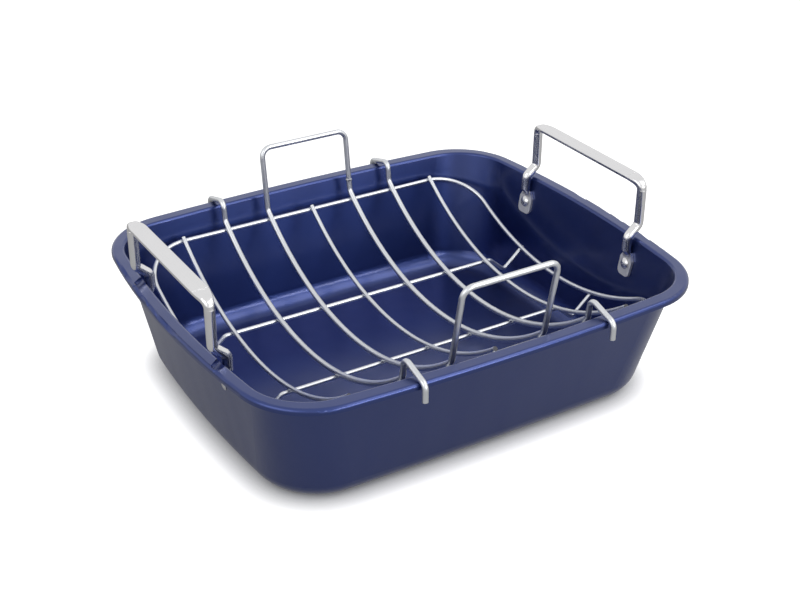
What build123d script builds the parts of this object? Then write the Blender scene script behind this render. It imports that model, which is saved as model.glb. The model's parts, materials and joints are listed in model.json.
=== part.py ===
from build123d import *
from math import asin, atan2, cos, hypot, pi, radians, sin, sqrt, tan
import os

os.makedirs("parts", exist_ok=True)

# A roasting pan pressed from sheet, with two riveted end handles and a cradle-shaped wire rack
# whose hooks hang over the long sides of the rim. X runs along the pan and Y across it. The
# origin is in the middle of the underside, which is the face that the pan stands on.

# Pan, measured over the rim at the middle of each side
pan_length = 432
pan_width = 371
pan_height = 111
sheet = 1.5
rim_end_bow = 17.5
rim_side_bow = 8
rim_corner_radius = 64
rim_width = 12.5
lip_height = 5
lip_radius = 3
mouth_radius = 2.5

# Outside of the wall at the mouth, and how far it tapers in to the base
mouth_end_bow = 12.5
mouth_side_bow = 9
mouth_corner_radius = 52
end_taper = 19.75
side_taper = 27.5
base_end_bow = 9
base_side_bow = 1.5
base_corner_radius = 58
floor_radius = 20

# Channels pressed into the rim under the handle legs, all turned the same way round
channel_width = 7
channel_depth = 2.4
channel_start = 6
channel_reach = 19
channel_turn = 40
channel_side_angle = 30
channel_edge_depth = 0.5
channel_edge_angle = 60

# Handles: bent rod with a flattened grip, cranked over the rim and flattened again at the tabs.
# The rod is round at the legs and pressed wider and flatter round the corners of the grip, where
# its middle stands a small step proud of the pressed ends
handle_span = 152
handle_rise = 54.2
handle_inset = 10.6
rod_diameter = 8.5
grip_width = 14.5
grip_thickness = 3.6
grip_edge_radius = 1.2
grip_corner_radius = 7
grip_blend = 8
grip_sections = 9
grip_step = 0.05
press_depth = 1.5
split_angle = 1
crank_rise = 11.6
crank_fall = 10
crank_radius = 6
leg_standoff = 0.6
leg_reach = 11
tab_width = 16.5
tab_height = 23
tab_thickness = 2.4
tab_corner_radius = 2.5
tab_foot_radius = 5
tab_neck_width = 9
tab_neck_height = 7
rivet_drop = 25
seat_gap = 0.25

# Rivets
rivet_diameter = 5
rivet_hole_gap = 0.15
rivet_head_diameter = 10
rivet_head_height = 2.6
rivet_tail_diameter = 6.6
rivet_tail_height = 1
rivet_edge = 0.5
rivet_tail_edge = 0.3

# Rack wires: thin ones for the frame, the plain cross wires and the foot wires, thick ones for
# the cross wires that end in hooks or carrying loops
thin_wire = 4
thick_wire = 5
weld_sink = 0.25
cradle_depth = 66.4
plain_end_run = 2

# Rack frame: straight long sides, corners that turn and dip at once, and sagging ends. Its gaps
# are to the middle of the wire from the inside of the pan's walls
frame_drop = 17.75
frame_end_gap = 18.1
frame_side_gap = 19.6
frame_corner_radius = 43.5
frame_end_slope = 26.4

# Cross wires: how many spaces there are from the middle one to the outer one, and how far that
# one is from the end of the frame
outer_spaces = 3
end_bay = 42.2

# Foot wires, with a V at each end that stands the rack up off a table
foot_spacing = 107.8
foot_tip_gap = 18.1
foot_lead = 16.5
foot_drop = 14.5
foot_bend_radius = 5
foot_end_run = 1.8

# Hooks and loops at the ends of the thick cross wires
knee_start = 2.5
knee_run = 5
knee_radius = 7
hook_lean = 83
hook_bar_slope = 16
hook_overhang = 4.6
hook_radius = 6
hook_end_drop = 13.5
rest_gap = 0.3
back_loop_lean = 82.5
back_loop_rise = 52.1
front_loop_lean = 79
front_loop_rise = 62.3
loop_corner_radius = 9

# One overrun for everything that is cut
overrun = 3

# Worked out from the pan's sizes
rim_half_length = pan_length / 2
rim_half_width = pan_width / 2
mouth_half_length = rim_half_length - rim_width + sheet
mouth_half_width = rim_half_width - rim_width + sheet
base_half_length = mouth_half_length - end_taper
base_half_width = mouth_half_width - side_taper
rod_radius = rod_diameter / 2
leg_y = handle_span / 2
leg_x = rim_half_length - handle_inset
rivet_z = pan_height - rivet_drop
corners = [(end, side) for end in (1, -1) for side in (1, -1)]

# An outline with four bowed sides and rounded corners, drawn in the sketch that is open
def bowed_outline(half_length, half_width, end_bow, side_bow, corner_radius):
    corner_x = half_length - end_bow
    corner_y = half_width - side_bow
    with BuildLine() as sides:
        ThreePointArc((corner_x, -corner_y), (half_length, 0), (corner_x, corner_y))
        ThreePointArc((corner_x, corner_y), (0, half_width), (-corner_x, corner_y))
        ThreePointArc((-corner_x, corner_y), (-half_length, 0), (-corner_x, -corner_y))
        ThreePointArc((-corner_x, -corner_y), (0, -half_width), (corner_x, -corner_y))
    make_face(sides.edges())
    fillet(vertices(), corner_radius)


# The rim's outline, drawn in from its outer edge by an inset
def rim_outline(inset):
    bowed_outline(
        rim_half_length - inset,
        rim_half_width - inset,
        rim_end_bow,
        rim_side_bow,
        rim_corner_radius - inset,
    )


# The wall's outline at the mouth and at the base, drawn in from its outside by an inset
def mouth_outline(inset):
    bowed_outline(
        mouth_half_length - inset,
        mouth_half_width - inset,
        mouth_end_bow,
        mouth_side_bow,
        mouth_corner_radius - inset,
    )


def base_outline(inset):
    bowed_outline(
        base_half_length - inset,
        base_half_width - inset,
        base_end_bow,
        base_side_bow,
        base_corner_radius - inset,
    )


# Distance from the middle to a bowed side, at a place along the side
def bowed_distance(half, bow, chord, place):
    bow_radius = (chord**2 + bow**2) / (2 * bow)
    return half - bow_radius + sqrt(bow_radius**2 - place**2)


# Distance from the pan's middle to the inside face of an end wall
def end_wall_x(y, z):
    up = z / pan_height
    half = base_half_length + (mouth_half_length - base_half_length) * up - sheet
    bow = base_end_bow + (mouth_end_bow - base_end_bow) * up
    base_chord = base_half_width - base_side_bow - sheet
    mouth_chord = mouth_half_width - mouth_side_bow - sheet
    return bowed_distance(half, bow, base_chord + (mouth_chord - base_chord) * up, y)


# The plane where a handle tab is seated on the inside of an end wall, its normal pointing in
def tab_seat(end, side):
    wall_x = end_wall_x(leg_y, rivet_z)
    along = (end_wall_x(leg_y + tab_width, rivet_z) - wall_x) / tab_width
    up = (end_wall_x(leg_y, pan_height) - end_wall_x(leg_y, 0)) / pan_height
    return Plane(
        origin=(end * wall_x, side * leg_y, rivet_z),
        x_dir=(-side * along, -end, 0),
        z_dir=(-end, side * along, up),
    )


# A share that starts and ends gently
def eased(share):
    return share**2 * (3 - 2 * share)


# The plane across the rod a distance along it from the top of a leg, round the corner of the grip
def grip_plane(run):
    turned = min(run / grip_corner_radius, pi / 2)
    past = max(run - corner_run, 0)
    return Plane(
        origin=(
            leg_x,
            corner_end_y + grip_corner_radius * cos(turned) - past,
            corner_end_z + grip_corner_radius * sin(turned),
        ),
        x_dir=(1, 0, 0),
        z_dir=(0, -sin(turned), cos(turned)),
    )


# The space inside the pan, with the radius where the walls meet the floor
with BuildPart() as cavity:
    with BuildSketch(Plane.XY.offset(sheet)):
        base_outline(sheet)
    with BuildSketch(Plane.XY.offset(pan_height)):
        mouth_outline(sheet)
    loft()
    fillet(edges().group_by(Axis.Z)[0], floor_radius - sheet)

channel_x = end_wall_x(leg_y, pan_height) - channel_start
channel_edge_width = (
    channel_width
    + 2 * (channel_depth - channel_edge_depth) * tan(radians(channel_side_angle))
    + 2 * channel_edge_depth * tan(radians(channel_edge_angle))
)

# Pan: rim plate with its rolled lip, wall and floor, hollowed, with channels and rivet holes
with BuildPart() as pan:
    with BuildSketch(Plane.XY.offset(pan_height - lip_height)):
        rim_outline(0)
    extrude(amount=lip_height)
    fillet(edges().group_by(Axis.Z)[-1], lip_radius)
    with BuildSketch(Plane.XY.offset(pan_height - lip_height)):
        rim_outline(sheet)
    extrude(amount=lip_height - sheet, mode=Mode.SUBTRACT)
    for end, side in corners:
        with BuildSketch(Plane.XY.offset(pan_height - sheet)):
            with Locations((end * channel_x, side * leg_y)):
                SlotOverall(
                    2 * (channel_reach + sheet),
                    channel_width + 2 * sheet,
                    rotation=channel_turn,
                )
        extrude(amount=-channel_depth)
    with BuildSketch(Plane.XY):
        base_outline(0)
    with BuildSketch(Plane.XY.offset(pan_height)):
        mouth_outline(0)
    loft()
    fillet(edges().group_by(Axis.Z)[0], floor_radius)
    add(cavity.part, mode=Mode.SUBTRACT)
    rim_face = faces().sort_by(Axis.Z)[-1]
    fillet(rim_face.inner_wires()[0].edges(), mouth_radius)
    for end, side in corners:
        with BuildSketch(Plane.XY.offset(pan_height)):
            with Locations((end * channel_x, side * leg_y)):
                SlotOverall(
                    2 * channel_reach,
                    channel_width + 2 * channel_depth * tan(radians(channel_side_angle)),
                    rotation=channel_turn,
                )
        extrude(amount=-channel_depth, taper=channel_side_angle, mode=Mode.SUBTRACT)
        with BuildSketch(Plane.XY.offset(pan_height)):
            with Locations((end * channel_x, side * leg_y)):
                SlotOverall(
                    2 * channel_reach + 2 * channel_edge_depth,
                    channel_edge_width,
                    rotation=channel_turn,
                )
        extrude(amount=-channel_edge_depth, taper=channel_edge_angle, mode=Mode.SUBTRACT)
        with BuildSketch(tab_seat(end, side)):
            Circle(rivet_diameter / 2 + rivet_hole_gap)
        extrude(amount=overrun, both=True, mode=Mode.SUBTRACT)
pan.part.label = "pan"
export_step(pan.part, "parts/pan.step")

# Right handle: one half, from the middle of the grip to its tab, and its mirror image. The round
# section at the top of the leg is split in eight, as the rounded oblongs that follow it are
grip_top_z = pan_height + handle_rise
corner_end_y = leg_y - grip_corner_radius
corner_end_z = grip_top_z + press_depth - rod_radius - grip_corner_radius
corner_run = grip_corner_radius * pi / 2
press_run = corner_run + grip_blend
grip_end_y = corner_end_y - grip_blend
leg_foot_z = pan_height - leg_reach
inner_leg_x = end_wall_x(leg_y, leg_foot_z) - leg_standoff - rod_radius
crank_z = pan_height + crank_rise
seat = tab_seat(1, 1)
tab_middle = seat.offset(seat_gap + tab_thickness / 2)
tab_top = tab_height / 2
shoulder = tab_top - tab_neck_height
blend_start = rivet_head_diameter / 2 + tab_thickness / 2
blend_z = rivet_z + blend_start
blend_x = (tab_middle.origin + tab_middle.y_dir * blend_start).X
with BuildPart() as right_handle:
    with BuildSketch(seat.offset(seat_gap)):
        with BuildLine():
            Polyline(
                (-tab_neck_width / 2, tab_top),
                (tab_neck_width / 2, tab_top),
                (tab_width / 2, shoulder),
                (tab_width / 2, -tab_top),
                (-tab_width / 2, -tab_top),
                (-tab_width / 2, shoulder),
                close=True,
            )
        make_face()
        tab_vertices = vertices().group_by(Axis.Y)
        fillet(tab_vertices[0], tab_foot_radius)
        fillet(tab_vertices[1] + tab_vertices[2], tab_corner_radius)
    extrude(amount=tab_thickness)
    with BuildSketch(seat):
        Circle(rivet_diameter / 2 + rivet_hole_gap)
    extrude(amount=overrun + tab_thickness, mode=Mode.SUBTRACT)
    with BuildSketch(Plane((blend_x, leg_y, blend_z))):
        RectangleRounded(tab_thickness, tab_neck_width, tab_thickness / 3)
    with BuildSketch(Plane((inner_leg_x, leg_y, leg_foot_z))):
        Circle(rod_radius)
    loft()
    with BuildLine():
        FilletPolyline(
            (inner_leg_x, leg_y, leg_foot_z),
            (inner_leg_x, leg_y, crank_z - crank_fall),
            (leg_x, leg_y, crank_z),
            (leg_x, leg_y, corner_end_z),
            radius=crank_radius,
        )
    with BuildSketch(Plane((inner_leg_x, leg_y, leg_foot_z))):
        Circle(rod_radius)
    sweep()
    with BuildSketch(grip_plane(0)):
        with BuildLine():
            for quarter in (0, 90, 180, 270):
                CenterArc((0, 0), rod_radius, quarter + split_angle, 90 - 2 * split_angle)
                CenterArc((0, 0), rod_radius, quarter + 90 - split_angle, 2 * split_angle)
        make_face()
    for section in range(1, grip_sections + 1):
        run = press_run * section / grip_sections
        pressed = eased(run / press_run)
        lowered = press_depth * eased(min(run / corner_run, 1)) + pressed * grip_step
        width = rod_diameter + pressed * (grip_width - 2 * grip_step - rod_diameter)
        height = rod_diameter + pressed * (grip_thickness - 2 * grip_step - rod_diameter)
        edge_radius = rod_radius + pressed * (grip_edge_radius - rod_radius)
        with BuildSketch(grip_plane(run)):
            with Locations((0, rod_radius - lowered - height / 2)):
                RectangleRounded(width, height, edge_radius)
    loft()
    with BuildSketch(grip_plane(press_run)):
        with Locations((0, rod_radius - press_depth - grip_thickness / 2)):
            RectangleRounded(grip_width, grip_thickness, grip_edge_radius)
    extrude(amount=grip_end_y)
    mirror(about=Plane.XZ)
right_handle.part.label = "right_handle"
export_step(right_handle.part, "parts/right_handle.step")

with BuildPart() as left_handle:
    mirror(right_handle.part, about=Plane.YZ)
left_handle.part.label = "left_handle"
export_step(left_handle.part, "parts/left_handle.step")

# Rivets: a domed head on each tab, the shank through tab and wall, and a flatter tail outside
end_names = {1: "right", -1: "left"}
side_names = {1: "back", -1: "front"}
for end, side in corners:
    seat = tab_seat(end, side)
    head_start = 2 * seat_gap + tab_thickness
    head_end = head_start + rivet_head_height
    tail_start = -sheet - seat_gap
    tail_end = tail_start - rivet_tail_height
    head_radius = rivet_head_diameter / 2
    tail_radius = rivet_tail_diameter / 2
    with BuildPart() as rivet:
        with BuildSketch(Plane(origin=seat.origin, x_dir=seat.x_dir, z_dir=-seat.y_dir)):
            with BuildLine():
                Line((0, tail_end), (0, head_end))
                TangentArc((0, head_end), (head_radius, head_start + rivet_edge), tangent=(1, 0))
                Polyline(
                    (head_radius, head_start + rivet_edge),
                    (head_radius, head_start),
                    (rivet_diameter / 2, head_start),
                    (rivet_diameter / 2, tail_start),
                    (tail_radius, tail_start),
                    (tail_radius, tail_start - rivet_tail_edge),
                )
                TangentArc((0, tail_end), (tail_radius, tail_start - rivet_tail_edge), tangent=(1, 0))
            make_face()
        revolve(axis=Axis(seat.origin, seat.z_dir))
    rivet.part.label = f"{end_names[end]}_{side_names[side]}_rivet"
    export_step(rivet.part, f"parts/{rivet.part.label}.step")

# Worked out from the rack's sizes. The cross wires are arcs about one line above the rack, and
# the frame and foot wires lie under them, at one distance from that line
thin_radius = thin_wire / 2
thick_radius = thick_wire / 2
low_z = pan_height - cradle_depth
under_low_z = low_z - thick_radius - thin_radius + weld_sink
frame_x = end_wall_x(0, low_z) - frame_end_gap
frame_y = mouth_half_width - sheet - frame_side_gap
frame_z = pan_height - frame_drop
under_rise = frame_z - under_low_z
under_radius = (frame_y**2 + under_rise**2) / (2 * under_rise)
cradle_radius = under_radius - low_z + under_low_z
thin_cross_radius = under_radius - thin_wire + weld_sink
cradle_z = under_low_z + under_radius
foot_y = foot_spacing / 2
foot_z = cradle_z - sqrt(under_radius**2 - foot_y**2)
crossing_angle = asin(frame_y / under_radius)
cross_pitch = (frame_x - end_bay) / outer_spaces

# Rack frame: one half, swept from the middle of the back side round to the middle of the front
slope = radians(frame_end_slope)
corner_y = frame_y - frame_corner_radius * cos(slope)
corner_z = frame_z - frame_corner_radius * sin(slope)
end_radius = corner_y / sin(slope)
end_low_z = corner_z - end_radius * (1 - cos(slope))
with BuildPart() as rack_frame:
    with BuildLine():
        Line((0, frame_y, frame_z), (frame_x - frame_corner_radius, frame_y, frame_z))
        TangentArc(
            (frame_x - frame_corner_radius, frame_y, frame_z),
            (frame_x, corner_y, corner_z),
            tangent=(1, 0, 0),
        )
        ThreePointArc(
            (frame_x, corner_y, corner_z),
            (frame_x, 0, end_low_z),
            (frame_x, -corner_y, corner_z),
        )
        TangentArc(
            (frame_x, -corner_y, corner_z),
            (frame_x - frame_corner_radius, -frame_y, frame_z),
            tangent=(0, -cos(slope), sin(slope)),
        )
        Line((frame_x - frame_corner_radius, -frame_y, frame_z), (0, -frame_y, frame_z))
    with BuildSketch(Plane(origin=(0, frame_y, frame_z), z_dir=(1, 0, 0))):
        Circle(thin_radius)
    sweep()
    mirror(about=Plane.YZ)
rack_frame.part.label = "rack_frame"
export_step(rack_frame.part, "parts/rack_frame.step")

# Plain cross wires, with cut ends that lie on the frame
plain_angle = crossing_angle + plain_end_run / thin_cross_radius
plain_y = thin_cross_radius * sin(plain_angle)
plain_z = cradle_z - thin_cross_radius * cos(plain_angle)
outer_x = outer_spaces * cross_pitch
plain_places = {"left": -outer_x, "centre": 0, "right": outer_x}
for name, x in plain_places.items():
    with BuildPart() as plain_wire:
        with BuildLine():
            ThreePointArc(
                (x, plain_y, plain_z),
                (x, 0, cradle_z - thin_cross_radius),
                (x, -plain_y, plain_z),
            )
        tangent = (0, -cos(plain_angle), -sin(plain_angle))
        with BuildSketch(Plane(origin=(x, plain_y, plain_z), x_dir=(1, 0, 0), z_dir=tangent)):
            Circle(thin_radius)
        sweep()
    plain_wire.part.label = f"rack_{name}_cross_wire"
    export_step(plain_wire.part, f"parts/{plain_wire.part.label}.step")

# Where the thick cross wires leave their arc and turn up at the knee
arc_angle = crossing_angle + knee_start / cradle_radius
arc_y = cradle_radius * sin(arc_angle)
arc_z = cradle_z - cradle_radius * cos(arc_angle)
knee_y = arc_y + knee_run * cos(arc_angle)
knee_z = arc_z + knee_run * sin(arc_angle)

# Hook wires: the bar of each hook rests on the rounded edge of the rim and slopes down over it
hook_x = outer_x - cross_pitch
rim_chord = rim_half_length - rim_end_bow
rim_edge_y = bowed_distance(rim_half_width, rim_side_bow, rim_chord, hook_x)
bar_slope = radians(hook_bar_slope)
bar_reach = lip_radius + rest_gap + thick_radius
bar_y = rim_edge_y - lip_radius + bar_reach * sin(bar_slope)
bar_z = pan_height - lip_radius + bar_reach * cos(bar_slope)
lean = radians(hook_lean)
climb = (bar_z - knee_z + (bar_y - knee_y) * tan(bar_slope)) / (sin(lean) + cos(lean) * tan(bar_slope))
hook_top_y = knee_y + climb * cos(lean)
hook_top_z = knee_z + climb * sin(lean)
hook_out_y = rim_edge_y + hook_overhang
hook_out_z = bar_z - (hook_out_y - bar_y) * tan(bar_slope)
hook_end_z = pan_height - hook_end_drop
for name, x in {"left": -hook_x, "right": hook_x}.items():
    with BuildPart() as hook_wire:
        with BuildLine():
            FilletPolyline(
                (x, hook_out_y, hook_end_z),
                (x, hook_out_y, hook_out_z),
                (x, hook_top_y, hook_top_z),
                (x, knee_y, knee_z),
                (x, arc_y, arc_z),
                radius=[hook_radius, hook_radius, knee_radius],
            )
            ThreePointArc((x, arc_y, arc_z), (x, 0, low_z), (x, -arc_y, arc_z))
            FilletPolyline(
                (x, -arc_y, arc_z),
                (x, -knee_y, knee_z),
                (x, -hook_top_y, hook_top_z),
                (x, -hook_out_y, hook_out_z),
                (x, -hook_out_y, hook_end_z),
                radius=[knee_radius, hook_radius, hook_radius],
            )
        with BuildSketch(Plane((x, hook_out_y, hook_end_z))):
            Circle(thick_radius)
        sweep()
    hook_wire.part.label = f"rack_{name}_hook_wire"
    export_step(hook_wire.part, f"parts/{hook_wire.part.label}.step")

# Loop wire: one half of a closed wire that makes two cross wires and both carrying loops, of
# which the front one leans out further and stands higher
loop_x = cross_pitch
back_z = pan_height + back_loop_rise - thick_radius
back_y = knee_y + (back_z - knee_z) / tan(radians(back_loop_lean))
front_z = pan_height + front_loop_rise - thick_radius
front_y = knee_y + (front_z - knee_z) / tan(radians(front_loop_lean))
with BuildPart() as loop_wire:
    with BuildLine():
        FilletPolyline(
            (0, back_y, back_z),
            (loop_x, back_y, back_z),
            (loop_x, knee_y, knee_z),
            (loop_x, arc_y, arc_z),
            radius=[loop_corner_radius, knee_radius],
        )
        ThreePointArc((loop_x, arc_y, arc_z), (loop_x, 0, low_z), (loop_x, -arc_y, arc_z))
        FilletPolyline(
            (loop_x, -arc_y, arc_z),
            (loop_x, -knee_y, knee_z),
            (loop_x, -front_y, front_z),
            (0, -front_y, front_z),
            radius=[knee_radius, loop_corner_radius],
        )
    with BuildSketch(Plane(origin=(0, back_y, back_z), z_dir=(1, 0, 0))):
        Circle(thick_radius)
    sweep()
    mirror(about=Plane.YZ)
loop_wire.part.label = "rack_loop_wire"
export_step(loop_wire.part, "parts/rack_loop_wire.step")

# Foot wires: level under the cross wires, a V at each end, then up to the frame's end, which
# they pass just below on the outside
foot_tip = frame_x - foot_tip_gap
foot_start = foot_tip - foot_lead
tip_z = foot_z - foot_drop
frame_at_foot_z = corner_z + end_radius * cos(slope) - sqrt(end_radius**2 - foot_y**2)
tip_distance = hypot(frame_x - foot_tip, frame_at_foot_z - tip_z)
tip_angle = atan2(frame_at_foot_z - tip_z, frame_x - foot_tip)
end_angle = tip_angle - asin((thin_wire - weld_sink) / tip_distance)
end_run = tip_distance + foot_end_run
foot_end_x = foot_tip + end_run * cos(end_angle)
foot_end_z = tip_z + end_run * sin(end_angle)
for name, y in {"back": foot_y, "front": -foot_y}.items():
    with BuildPart() as foot_wire:
        with BuildLine():
            FilletPolyline(
                (-foot_end_x, y, foot_end_z),
                (-foot_tip, y, tip_z),
                (-foot_start, y, foot_z),
                (foot_start, y, foot_z),
                (foot_tip, y, tip_z),
                (foot_end_x, y, foot_end_z),
                radius=foot_bend_radius,
            )
        tangent = (cos(end_angle), 0, -sin(end_angle))
        with BuildSketch(Plane(origin=(-foot_end_x, y, foot_end_z), x_dir=(0, 1, 0), z_dir=tangent)):
            Circle(thin_radius)
        sweep()
    foot_wire.part.label = f"rack_{name}_foot_wire"
    export_step(foot_wire.part, f"parts/{foot_wire.part.label}.step")
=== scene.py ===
import json
from math import asin, cos, radians, sin

import bpy
from mathutils import Matrix, Vector


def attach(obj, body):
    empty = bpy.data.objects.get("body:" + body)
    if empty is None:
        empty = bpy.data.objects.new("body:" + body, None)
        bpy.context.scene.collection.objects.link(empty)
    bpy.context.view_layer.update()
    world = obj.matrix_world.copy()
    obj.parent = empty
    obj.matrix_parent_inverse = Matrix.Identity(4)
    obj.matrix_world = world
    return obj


# Lengths are in metres and angles in degrees

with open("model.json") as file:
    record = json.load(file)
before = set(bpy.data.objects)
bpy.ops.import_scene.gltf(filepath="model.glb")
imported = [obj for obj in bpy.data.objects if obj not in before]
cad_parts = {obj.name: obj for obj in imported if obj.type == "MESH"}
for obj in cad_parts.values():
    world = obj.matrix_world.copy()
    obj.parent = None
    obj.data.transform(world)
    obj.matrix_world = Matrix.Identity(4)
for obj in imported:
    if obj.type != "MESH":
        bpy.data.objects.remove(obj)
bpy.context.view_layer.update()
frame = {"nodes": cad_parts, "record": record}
nodes = frame["nodes"]
print("frame loaded:", len(nodes), "nodes")


def deselectAll():
    for item in bpy.context.selected_objects:
        item.select_set(False)


shot = {
    "place": (-0.54686, -0.90477, 0.65762),
    "azimuth": -31.40,
    "elevation": 29.15,
    "roll": 0.26,
    "lens": 62.2,  # millimetres, as is the sensor
    "sensor": 36,
    "nearClip": 0.02,
    "farClip": 60,
}


def makeCamera():
    bpy.ops.object.camera_add()
    camera = bpy.context.object
    camera.name = "photoCamera"
    camera.data.lens = shot["lens"]
    camera.data.sensor_width = shot["sensor"]
    camera.data.clip_start = shot["nearClip"]
    camera.data.clip_end = shot["farClip"]
    turn = (
        Matrix.Rotation(radians(shot["azimuth"]), 4, "Z")
        @ Matrix.Rotation(radians(90 - shot["elevation"]), 4, "X")
        @ Matrix.Rotation(radians(shot["roll"]), 4, "Z")
    )
    camera.matrix_world = Matrix.Translation(shot["place"]) @ turn
    bpy.context.scene.camera = camera


makeCamera()
bpy.context.scene.view_settings.view_transform = "Standard"
print("camera set")


# A socket that can be added, multiplied and so on
class Flow:
    def __init__(self, finish, socket):
        self.finish = finish
        self.socket = socket

    def work(self, operation, first, second):
        return self.finish.add("ShaderNodeMath", {"operation": operation}, {0: first, 1: second})

    def __add__(self, other):
        return self.work("ADD", self, other)

    def __radd__(self, other):
        return self.work("ADD", other, self)

    def __sub__(self, other):
        return self.work("SUBTRACT", self, other)

    def __rsub__(self, other):
        return self.work("SUBTRACT", other, self)

    def __mul__(self, other):
        return self.work("MULTIPLY", self, other)

    def __rmul__(self, other):
        return self.work("MULTIPLY", other, self)

    def __pow__(self, other):
        return self.work("POWER", self, other)

    def __rpow__(self, other):
        return self.work("POWER", other, self)

    def __abs__(self):
        return self.work("ABSOLUTE", self, 0.0)


# The nodes of one material, or of the world
class Finish:
    def __init__(self, owner):
        self.owner = owner
        self.owner.use_nodes = True
        self.tree = self.owner.node_tree
        self.tree.nodes.clear()

    def add(self, kind, settings=None, inputs=None, output=0):
        node = self.tree.nodes.new(kind)
        for key, value in (settings or {}).items():
            setattr(node, key, value)
        for key, value in (inputs or {}).items():
            if isinstance(value, Flow):
                self.tree.links.new(value.socket, node.inputs[key])
            else:
                node.inputs[key].default_value = value
        if node.outputs:
            return Flow(self, node.outputs[output])

    def position(self):
        return self.add("ShaderNodeTexCoord", output="Object")

    def along(self, place, axis):
        return self.add("ShaderNodeSeparateXYZ", None, {"Vector": place}, axis)

    def noise(self, place, scale=1, detail=2, rough=0.5, stretch=None):
        if stretch:
            place = self.add("ShaderNodeMapping", None, {"Vector": place, "Scale": stretch})
        return self.add("ShaderNodeTexNoise", None, {
            "Vector": place, "Scale": scale, "Detail": detail, "Roughness": rough})

    def ramp(self, value, start, end):
        return self.add("ShaderNodeMapRange", None, {
            "Value": value, "From Min": start, "From Max": end})

    def mix(self, amount, first, second):
        return self.add("ShaderNodeMix", {"data_type": "RGBA"}, {0: amount, 6: first, 7: second}, 2)

    def bump(self, height, depth, under=None):
        inputs = {"Strength": 1.0, "Distance": depth, "Height": height}
        if under:
            inputs["Normal"] = under
        return self.add("ShaderNodeBump", None, inputs)

    def surface(self, shader, kind="ShaderNodeOutputMaterial"):
        self.add(kind, None, {"Surface": shader})
        return self.owner


# Noise runs from 0 to 1 around a half, so this swings both ways from nothing
def swing(noise, amount):
    return (noise - 0.5) * amount


coat = {
    "blue": (0.017, 0.037, 0.170, 1),
    "paleBlue": (0.022, 0.044, 0.192, 1),
    "deepBlue": (0.012, 0.029, 0.148, 1),
    "metal": 0.92,
    "gloss": 0.8,
    "glossRoughness": 0.20,
    "roughness": 0.33,
    "drift": {"scale": 9, "detail": 3, "rough": 0.55},
    "driftShare": 0.7,
    "driftRoughness": 0.10,
    "fleck": {"scale": 900, "detail": 1},
    "fleckShare": 0.2,
    "fleckRoughness": 0.05,
    "peel": {"scale": 210},
    "peelDepth": 0.00003,
    "ripple": {"stretch": (26, 26, 3), "detail": 1, "rough": 0.4},
    "rippleDepth": 0.0016,
}


# Dark blue flakes under a clear gloss, with orange peel and a slow ripple
def makeCoatFinish():
    finish = Finish(bpy.data.materials.new("navyCoat"))
    place = finish.position()
    drift = finish.noise(place, **coat["drift"])
    fleck = finish.noise(place, **coat["fleck"])
    peel = finish.noise(place, **coat["peel"])
    ripple = finish.noise(place, **coat["ripple"])
    colour = finish.mix(drift * coat["driftShare"], coat["blue"], coat["paleBlue"])
    colour = finish.mix(fleck * coat["fleckShare"], colour, coat["deepBlue"])
    roughness = (
        swing(drift, coat["driftRoughness"]) + swing(fleck, coat["fleckRoughness"])
        + coat["roughness"]
    )
    soft = finish.bump(ripple, coat["rippleDepth"])
    return finish.surface(finish.add("ShaderNodeBsdfPrincipled", None, {
        "Base Color": colour,
        "Metallic": coat["metal"],
        "Roughness": roughness,
        "Coat Weight": coat["gloss"],
        "Coat Roughness": coat["glossRoughness"],
        "Normal": finish.bump(peel, coat["peelDepth"], soft),
    }))


steel = {
    "colour": (0.80, 0.795, 0.80, 1),
    "shade": (0.70, 0.70, 0.715, 1),
    "roughness": 0.20,
    "grain": {"stretch": (900, 30, 500)},
    "grainShare": 0.4,
    "grainRoughness": 0.08,
    "grainDepth": 0.00001,
    "cloud": {"scale": 60},
    "cloudShare": 0.3,
    "cloudRoughness": 0.10,
    "tabRoughness": 0.52,
    "tabTop": 0.097,
    "tabBlend": 0.006,
    "dents": {"scale": 500},
    "dentDepth": 0.0001,
}


# The rod is polished. The tabs pressed flat at its ends stay duller
def makeSteelFinish():
    finish = Finish(bpy.data.materials.new("polishedSteel"))
    place = finish.position()
    tabEdge = steel["tabTop"] - steel["tabBlend"]
    onTab = finish.ramp(finish.along(place, "Z"), steel["tabTop"], tabEdge)
    grain = finish.noise(place, **steel["grain"])
    cloud = finish.noise(place, **steel["cloud"])
    dents = finish.noise(place, **steel["dents"])
    shade = grain * steel["grainShare"] + cloud * steel["cloudShare"]
    roughness = (
        swing(cloud, steel["cloudRoughness"]) + swing(grain, steel["grainRoughness"])
        + steel["roughness"]
    )
    pressed = finish.bump(onTab * dents, steel["dentDepth"])
    return finish.surface(finish.add("ShaderNodeBsdfPrincipled", None, {
        "Base Color": finish.mix(shade, steel["colour"], steel["shade"]),
        "Metallic": 1.0,
        "Roughness": onTab * (steel["tabRoughness"] - steel["roughness"]) + roughness,
        "Normal": finish.bump(grain, steel["grainDepth"], pressed),
    }))


rivetSteel = {
    "colour": (0.78, 0.78, 0.79, 1),
    "shade": (0.40, 0.40, 0.42, 1),
    "roughness": 0.20,
    "dents": {"scale": 420, "rough": 0.55},
    "dentShare": 0.6,
    "dentRoughness": 0.12,
    "dentDepth": 0.0002,
}


# The rivet heads keep the marks of the hammer
def makeRivetFinish():
    finish = Finish(bpy.data.materials.new("rivetSteel"))
    dents = finish.noise(finish.position(), **rivetSteel["dents"])
    shade = dents * rivetSteel["dentShare"]
    return finish.surface(finish.add("ShaderNodeBsdfPrincipled", None, {
        "Base Color": finish.mix(shade, rivetSteel["colour"], rivetSteel["shade"]),
        "Metallic": 1.0,
        "Roughness": dents * rivetSteel["dentRoughness"] + rivetSteel["roughness"],
        "Normal": finish.bump(dents, rivetSteel["dentDepth"]),
    }))


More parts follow.
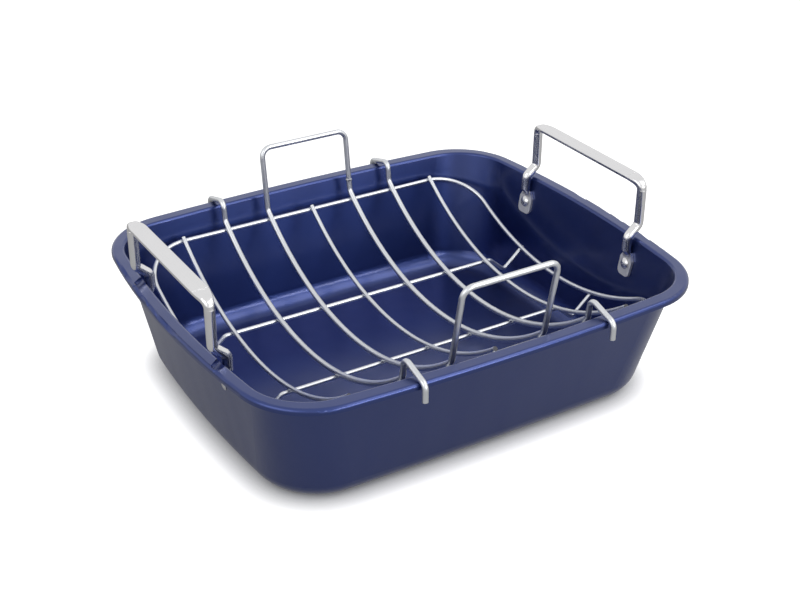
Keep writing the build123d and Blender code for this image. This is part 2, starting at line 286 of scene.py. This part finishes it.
plating = {
    "colour": (0.71, 0.725, 0.75, 1),
    "shade": (0.58, 0.60, 0.63, 1),
    "roughness": 0.36,
    "bloom": {"scale": 60, "detail": 3, "rough": 0.55},
    "bloomShare": 0.5,
    "bloomRoughness": 0.14,
    "grit": {"scale": 700},
    "gritRoughness": 0.06,
    "gritDepth": 0.00002,
}

# The plain cross wires climb at this angle where they end. Start and end are
# distances from the middle line of the floor, in the direction of that climb
# The colour below is painted shade on the end faces, which hides their bright highlights
cutEnds = {
    "wires": ("rack_left_cross_wire", "rack_centre_cross_wire", "rack_right_cross_wire"),
    "climb": 38.52,
    "start": 0.17975,
    "end": 0.17995,
    "colour": (0.20, 0.20, 0.21, 1),
    "roughness": 0.4,
}


# Bright plating with some bloom. The cut ends are dull, and painted dark to hide the highlights on
# them
def makePlatingFinish(name, withCuts=False):
    finish = Finish(bpy.data.materials.new(name))
    place = finish.position()
    bloom = finish.noise(place, **plating["bloom"])
    grit = finish.noise(place, **plating["grit"])
    colour = finish.mix(bloom * plating["bloomShare"], plating["colour"], plating["shade"])
    roughness = (
        swing(bloom, plating["bloomRoughness"]) + swing(grit, plating["gritRoughness"])
        + plating["roughness"]
    )
    if withCuts:
        climb = radians(cutEnds["climb"])
        reach = abs(finish.along(place, "Y")) * cos(climb) + finish.along(place, "Z") * sin(climb)
        cut = finish.ramp(reach, cutEnds["start"], cutEnds["end"])
        # Painted shade on the cut ends, hiding their highlights
        colour = finish.mix(cut, colour, cutEnds["colour"])
        roughness = cut * cutEnds["roughness"] + roughness
    return finish.surface(finish.add("ShaderNodeBsdfPrincipled", None, {
        "Base Color": colour,
        "Metallic": 1.0,
        "Roughness": roughness,
        "Normal": finish.bump(grit, plating["gritDepth"]),
    }))


finishes = {
    "navy_coat": makeCoatFinish(),
    "polished_steel": makeSteelFinish(),
    "rivet_steel": makeRivetFinish(),
    "rack_plating": makePlatingFinish("rackPlating"),
    "cutWires": makePlatingFinish("rackPlatingShadedEnds", withCuts=True),
}


def dress(item, finishName):
    item.data.materials.clear()
    item.data.materials.append(finishes[finishName])


for part in frame["record"]["subparts"]:
    isCut = part["node"] in cutEnds["wires"]
    dress(nodes[part["node"]], "cutWires" if isCut else part["material_slot"])
print("finishes made:", len(finishes))


# Spot welds where the cross wires lie on the frame and the foot wires, along
# one arc, and where the feet meet the ends of the frame. Pitch, arcs and wire
# lines are those of the part
welds = {
    "radius": 0.0019,
    "thickness": 0.0015,
    "rim": 0.0004,
    "corners": 12,
    "pitch": 0.043795,  # from one cross wire to the next
    "outerSpaces": 3,  # from the middle wire to the last
    "across": (-0.1534, -0.0539, 0.0539, 0.1534),
    "arcHeight": 0.289216,
    "arcRadius": 0.24699,
    "underRadius": 0.248866,  # of the arc of the wires underneath
    "footEnd": (0.17483, 0.0539, 0.05138),
    "footLean": 41.5,
}


# A flat lump with a rounded rim
def makeNugget(name, weld):
    deselectAll()
    bpy.ops.mesh.primitive_cylinder_add(
        vertices=weld["corners"], radius=weld["radius"], depth=weld["thickness"],
        end_fill_type="NGON")
    nugget = bpy.context.object
    nugget.name = name
    bpy.ops.object.mode_set(mode="EDIT")
    bpy.ops.mesh.select_all(action="SELECT")
    bpy.ops.mesh.bevel(offset=weld["rim"], segments=2, affect="EDGES")
    bpy.ops.mesh.select_all(action="SELECT")
    bpy.ops.mesh.normals_make_consistent(inside=False)
    bpy.ops.object.mode_set(mode="OBJECT")
    bpy.ops.object.shade_smooth()
    return nugget


def placeCopy(first, name, matrix):
    deselectAll()
    copy = first.copy()
    copy.data = first.data.copy()
    copy.name = name
    bpy.context.scene.collection.objects.link(copy)
    copy.select_set(True)
    bpy.context.view_layer.objects.active = copy
    copy.matrix_world = matrix
    bpy.ops.object.transform_apply(location=True, rotation=True, scale=True)
    return copy


def addToRack(piece):
    dress(piece, "rack_plating")
    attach(piece, "rack")


def findSpots():
    spots = []
    for space in range(-welds["outerSpaces"], welds["outerSpaces"] + 1):
        for across in welds["across"]:
            angle = asin(across / welds["underRadius"])
            place = (
                space * welds["pitch"],
                welds["arcRadius"] * sin(angle),
                welds["arcHeight"] - welds["arcRadius"] * cos(angle),
            )
            spots.append(Matrix.Translation(place) @ Matrix.Rotation(angle, 4, "X"))
    endX, endY, endZ = welds["footEnd"]
    for end in (1, -1):
        for side in (1, -1):
            lean = Matrix.Rotation(radians(-end * welds["footLean"]), 4, "Y")
            spots.append(Matrix.Translation((end * endX, side * endY, endZ)) @ lean)
    return spots


def makeSpotWelds():
    first = makeNugget("weldNugget", welds)
    copies = [placeCopy(first, "weldSpot", spot) for spot in findSpots()]
    bpy.data.objects.remove(first)
    deselectAll()
    for copy in copies:
        copy.select_set(True)
    bpy.context.view_layer.objects.active = copies[0]
    bpy.ops.object.join()
    spotWelds = bpy.context.object
    spotWelds.name = "rackSpotWelds"
    addToRack(spotWelds)
    return len(copies)


print("spot welds:", makeSpotWelds())


# The ends of the loop wire meet in a butt weld on the right leg of the back loop
buttWeld = {
    "across": 0.15809,
    "height": 0.1122,
    "lean": 7.5,
    "radius": 0.00285,
    "thickness": 0.0032,
    "rim": 0.0009,
    "corners": 24,
}


def makeButtWeld():
    first = makeNugget("weldCollar", buttWeld)
    place = (welds["pitch"], buttWeld["across"], buttWeld["height"])
    lean = Matrix.Rotation(radians(-buttWeld["lean"]), 4, "X")
    collar = placeCopy(first, "rackLoopButtWeld", Matrix.Translation(place) @ lean)
    bpy.data.objects.remove(first)
    addToRack(collar)


makeButtWeld()
print("butt weld made")


white = (1, 1, 1, 1)
studio = {
    "floorSize": 9,
    "floorDrop": 0.0002,
    "floorColour": (0.58, 0.58, 0.58, 1),
    "floorGlow": 0.98,
    "floorGloss": 0.08,
    "contactReach": 0.022,
    "contactDepth": 1.5,
    "contactSamples": 12,
    "sky": 0.34,
    "skyGloss": 0.92,
    "aim": (0, 0, 0.05),
    "lamps": {
        "keyBox": {"place": (0.95, -0.90, 1.65), "size": (1.5, 1.1), "power": 10},
        "leftBox": {"place": (-1.7, -0.5, 1.2), "size": (1.6, 1.2), "power": 8},
        "frontStrip": {"place": (0.50, -1.80, 0.78), "size": (1.2, 0.34), "power": 11},
    },
}


# Rays from the camera, off something glossy and through something clear
def findRays(finish):
    names = ("Is Camera Ray", "Is Glossy Ray", "Is Transmission Ray")
    return [finish.add("ShaderNodeLightPath", output=name) for name in names]


# The glow makes the floor white, except close under the pan
def makeFloor():
    deselectAll()
    bpy.ops.mesh.primitive_plane_add(
        size=studio["floorSize"], location=(0, 0, -studio["floorDrop"]))
    floor = bpy.context.object
    floor.name = "paleFloor"
    finish = Finish(bpy.data.materials.new("paleFloor"))
    camera, glossy, through = findRays(finish)
    near = finish.add(
        "ShaderNodeAmbientOcclusion", {"samples": studio["contactSamples"]},
        {"Distance": studio["contactReach"]}, "AO")
    openness = near ** studio["contactDepth"]
    seen = openness * (camera + through) * studio["floorGlow"]
    glow = finish.add("ShaderNodeEmission", None, {
        "Color": white, "Strength": seen + glossy * studio["floorGloss"]})
    plain = finish.add("ShaderNodeBsdfDiffuse", None, {"Color": studio["floorColour"]})
    both = finish.add("ShaderNodeAddShader", None, {0: plain, 1: glow})
    floor.data.materials.append(finish.surface(both))


def makeSky():
    world = bpy.context.scene.world or bpy.data.worlds.new("studioSky")
    bpy.context.scene.world = world
    finish = Finish(world)
    camera, glossy, through = findRays(finish)
    seen = camera.work("MAXIMUM", camera, through) * (1 - studio["sky"])
    strength = seen + glossy * (studio["skyGloss"] - studio["sky"]) + studio["sky"]
    back = finish.add("ShaderNodeBackground", None, {"Color": white, "Strength": strength})
    finish.surface(back, "ShaderNodeOutputWorld")


def makeLamps():
    for name, lamp in studio["lamps"].items():
        bpy.ops.object.light_add(type="AREA", location=lamp["place"])
        light = bpy.context.object
        light.name = name
        light.data.shape = "RECTANGLE"
        light.data.size, light.data.size_y = lamp["size"]
        light.data.energy = lamp["power"]
        look = Vector(studio["aim"]) - Vector(lamp["place"])
        light.rotation_euler = look.to_track_quat("-Z", "Y").to_euler()


makeFloor()
makeSky()
makeLamps()
print("studio lit")
